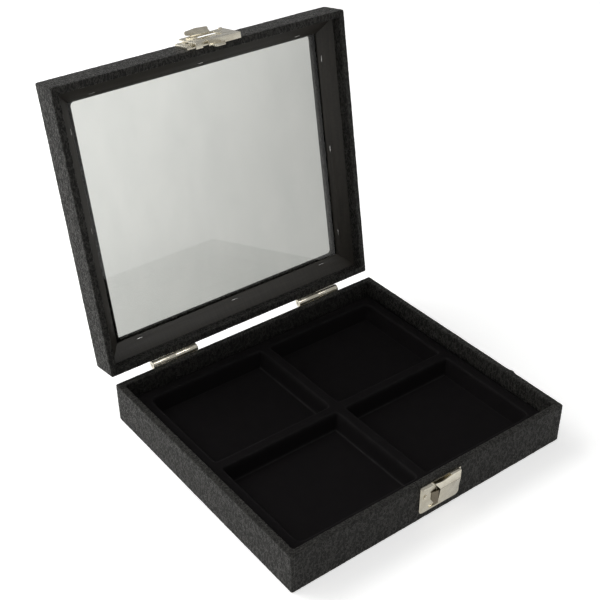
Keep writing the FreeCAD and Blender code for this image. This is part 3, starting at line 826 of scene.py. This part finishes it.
def drop_at(fall):
    """Depth of the insert's surface below its top, with both edges of a wall rounded."""
    return smooth_min(smooth_max(fall, 0.0, tray_edge_round), tray_depth, tray_foot_round)


def painted_highlight_at(fall):
    """How strong the painted highlight on the flock is: a line along the foot of each wall, and a weaker
    one at its brow.
    """
    slope = tray_depth / tray_lean
    foot = (fall - tray_depth) / slope - foot_line_in
    brow = fall / slope
    at_foot = math.exp(-(foot / foot_line_half) ** 2)
    return at_foot + brow_line_share * math.exp(-(brow / brow_line_half) ** 2)


def smooth_max(a, b, width):
    """The larger of two values, blended where they are within a width of each other."""
    part = max(width - abs(a - b), 0.0) / width
    return max(a, b) + width * part * part / 4


def smooth_min(a, b, width):
    """The smaller of two values, blended in the same way."""
    return -smooth_max(-a, -b, width)


def flocked_insert():
    """The formed insert: ribs and compartments on top, a skirt round it, hollow underneath."""
    low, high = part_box("compartment_tray")
    across, along = (high.x - low.x) / 2, (high.y - low.y) / 2
    shift_y = (high.y + low.y) / 2
    xs = grid_lines(across)
    ys = grid_lines(along)
    rows, columns = len(ys), len(xs)
    outer_x, outer_y = across - tray_border, along - tray_border
    top, under, painted_highlight = [], [], []
    for y in ys:
        for x in xs:
            px, py = round_corner(x, y, across, along)
            fall = fall_at(px, py, outer_x, outer_y)
            drop = drop_at(fall)
            edge = min(across - abs(px), along - abs(py))
            sag = tray_sag * math.exp(-edge / tray_sag_reach)
            wave = tray_wave * noise.noise(Vector((px, py, 0)) / tray_wave_size)
            z = high.z - drop - sag + wave - tray_wave
            top.append((px, py + shift_y, z))
            # Painted highlight along the foot and the brow of each wall, kept for each point
            painted_highlight.append(painted_highlight_at(fall))
            scale_x = (across - tray_skin) / across
            scale_y = (along - tray_skin) / along
            under.append((px * scale_x, py * scale_y + shift_y, z - tray_skin))
    vertices = top + under
    count = rows * columns
    faces, rim = sheet_faces(rows, columns)
    levels = 4
    rings = [rim]
    for source, deeper in ((0, True), (count, False)):
        steps = range(1, levels + 1) if deeper else range(levels, 0, -1)
        for step in steps:
            ring = []
            for index in rim:
                x, y, z = vertices[source + index]
                level = z + (low.z - z) * step / levels
                ring.append(len(vertices))
                vertices.append((x, y, level))
            rings.append(ring)
    rings.append([count + index for index in rim])
    for first, second in zip(rings, rings[1:]):
        for i in range(len(rim)):
            j = (i + 1) % len(rim)
            faces.append((first[j], first[i], second[i], second[j]))
    made = new_piece("flocked_insert", vertices, faces, flocked,
                     "tray", "flocked_plastic", "compartment_tray")
    layer = made.data.attributes.new("painted_highlight", "FLOAT", "POINT")
    layer.data.foreach_set("value", painted_highlight + [0.0] * (len(vertices) - len(painted_highlight)))


def round_corner(x, y, across, along):
    """Draw a place near a corner of the insert inside its rounded outline."""
    r = tray_corner_round
    dx, dy = abs(x) - (across - r), abs(y) - (along - r)
    if dx <= 0 or dy <= 0:
        return x, y
    reach = math.hypot(dx, dy)
    square = max(dx, dy)
    scale = square / reach
    return math.copysign(across - r + dx * scale, x), math.copysign(along - r + dy * scale, y)


base_leatherette()
lid_leatherette()
flocked_insert()
bent_staples()
keeper_leaf()
# Each hard piece's node, body, material, slot, eased edge in millimetres and new name
hard_pieces = (
    ("keeper_back_plate", "base", plate, "nickel", 0.16, "keeper_plate"),
    ("keeper_cover", "base", plate, "nickel", 0.16, "keeper_shell"),
    ("keeper_nail", "base", plate, "nickel", 0.06, "keeper_tack"),
    ("hinge_base_leaf_left", "base", plate, "nickel", 0.14, "left_hinge_base_half"),
    ("hinge_base_leaf_right", "base", plate, "nickel", 0.14, "right_hinge_base_half"),
    ("hinge_base_nails", "base", plate, "nickel", 0.06, "hinge_base_tacks"),
    ("hinge_pin_left", "base", pin_steel, "pin_steel", 0.18, "left_hinge_rod"),
    ("hinge_pin_right", "base", pin_steel, "pin_steel", 0.18, "right_hinge_rod"),
    ("hinge_lid_leaf_left", "lid", plate, "nickel", 0.14, "left_hinge_lid_half"),
    ("hinge_lid_leaf_right", "lid", plate, "nickel", 0.14, "right_hinge_lid_half"),
    ("hinge_lid_nails", "lid", plate, "nickel", 0.06, "hinge_lid_tacks"),
    ("catch_mounting_plate", "lid", plate, "nickel", 0.20, "catch_base_plate"),
    ("catch_mounting_nails", "lid", plate, "nickel", 0.06, "catch_tacks"),
    ("catch_slide", "slide", plate, "nickel", 0.16, "catch_slider"),
    ("catch_slide_rivets", "slide", plate, "nickel", 0.10, "catch_rivets"),
    ("glazing_bead_front", "lid", bead, "stained_bead", 0.35, "front_bead"),
    ("glazing_bead_back", "lid", bead, "stained_bead", 0.35, "back_bead"),
    ("glazing_bead_left", "lid", bead, "stained_bead", 0.35, "left_bead"),
    ("glazing_bead_right", "lid", bead, "stained_bead", 0.35, "right_bead"),
)
for node, body, material, slot, edge, name in hard_pieces:
    softened(node, body, material, edge * mm, name)


# Floor, light and camera
def stage_material():
    """Pale floor that the camera sees as white, with the object's shadow kept on it and a painted shade in
    its glow seen through the glass.
    """
    s = Shader("pale_floor")
    mottle = s.noise(s.place(), 0.004, 2, 0.5)
    base = s.mix(mottle, floor_colour, tuple(min(1, c * floor_mottle) for c in floor_colour))
    diffuse = s.add("ShaderNodeBsdfDiffuse")
    s.join(base, diffuse.inputs["Color"])
    glow = s.add("ShaderNodeEmission")
    rays = s.add("ShaderNodeLightPath")
    parts = s.add("ShaderNodeSeparateXYZ")
    s.join(s.place(), parts.inputs[0])
    # Painted shade in the glass: the glow grows from near the case to far behind it
    back = s.math("SUBTRACT", parts.outputs["Y"], s.math("MULTIPLY", parts.outputs["X"], glass_glow_slant))
    painted_shade_in_glass = s.spread(back, *glass_glow_reach_mm, *floor_glow_in_glass)
    strength = s.math("MULTIPLY", rays.outputs["Is Camera Ray"], floor_glow)
    gloss = s.math("MULTIPLY", rays.outputs["Is Glossy Ray"], floor_glow_in_gloss)
    strength = s.math("MAXIMUM", strength, gloss)
    strength = s.select(rays.outputs["Is Transmission Ray"], strength, painted_shade_in_glass)
    s.join(strength, glow.inputs["Strength"])
    total = s.add("ShaderNodeAddShader")
    s.join(diffuse.outputs[0], total.inputs[0])
    s.join(glow.outputs[0], total.inputs[1])
    s.join(total.outputs[0], s.out.inputs["Surface"])
    return s.material


def floor():
    """A wide plain floor just under the case."""
    half = floor_half
    mesh = bpy.data.meshes.new("floor")
    corners = [(-half, -half, 0), (half, -half, 0), (half, half, 0), (-half, half, 0)]
    mesh.from_pydata(corners, [], [(0, 1, 2, 3)])
    mesh.materials.append(stage_material())
    ground = bpy.data.objects.new("floor", mesh)
    ground.location.z = cad_box[0].z - floor_gap
    scene.collection.objects.link(ground)


def lamp(name, place, target, size, power):
    """A soft rectangular lamp that faces a target."""
    data = bpy.data.lights.new(name, "AREA")
    data.shape = "RECTANGLE"
    data.size, data.size_y = size
    data.energy = power
    lit = bpy.data.objects.new(name, data)
    lit.location = place
    lit.rotation_euler = (Vector(target) - Vector(place)).to_track_quat("-Z", "Y").to_euler()
    scene.collection.objects.link(lit)


def world():
    """White light all round, brighter to the camera and through the glass than on the object."""
    made = bpy.data.worlds.new("studio")
    made.use_nodes = True
    tree = made.node_tree
    background = tree.nodes["Background"]
    background.inputs["Color"].default_value = (1, 1, 1, 1)
    rays = tree.nodes.new("ShaderNodeLightPath")
    seen = tree.nodes.new("ShaderNodeMath")
    seen.operation = "MAXIMUM"
    tree.links.new(rays.outputs["Is Camera Ray"], seen.inputs[0])
    tree.links.new(rays.outputs["Is Transmission Ray"], seen.inputs[1])
    strength = tree.nodes.new("ShaderNodeMapRange")
    strength.inputs["To Min"].default_value = world_light
    strength.inputs["To Max"].default_value = background_white
    tree.links.new(seen.outputs[0], strength.inputs["Value"])
    gloss = tree.nodes.new("ShaderNodeMath")
    gloss.operation = "MULTIPLY"
    gloss.inputs[1].default_value = world_in_gloss - world_light
    tree.links.new(rays.outputs["Is Glossy Ray"], gloss.inputs[0])
    total = tree.nodes.new("ShaderNodeMath")
    tree.links.new(strength.outputs["Result"], total.inputs[0])
    tree.links.new(gloss.outputs[0], total.inputs[1])
    tree.links.new(total.outputs[0], background.inputs["Strength"])
    scene.world = made


def photo_camera():
    """The camera at the photograph's place."""
    data = bpy.data.cameras.new("camera")
    data.lens = camera_lens
    data.shift_x, data.shift_y = camera_shift
    camera = bpy.data.objects.new("camera", data)
    camera.location = camera_place
    camera.rotation_euler = [math.radians(angle) for angle in camera_turn_degrees]
    scene.collection.objects.link(camera)
    bpy.context.scene.camera = camera
    scene.view_settings.view_transform = "Standard"


floor()
world()
for settings in lamps:
    lamp(*settings)
photo_camera()
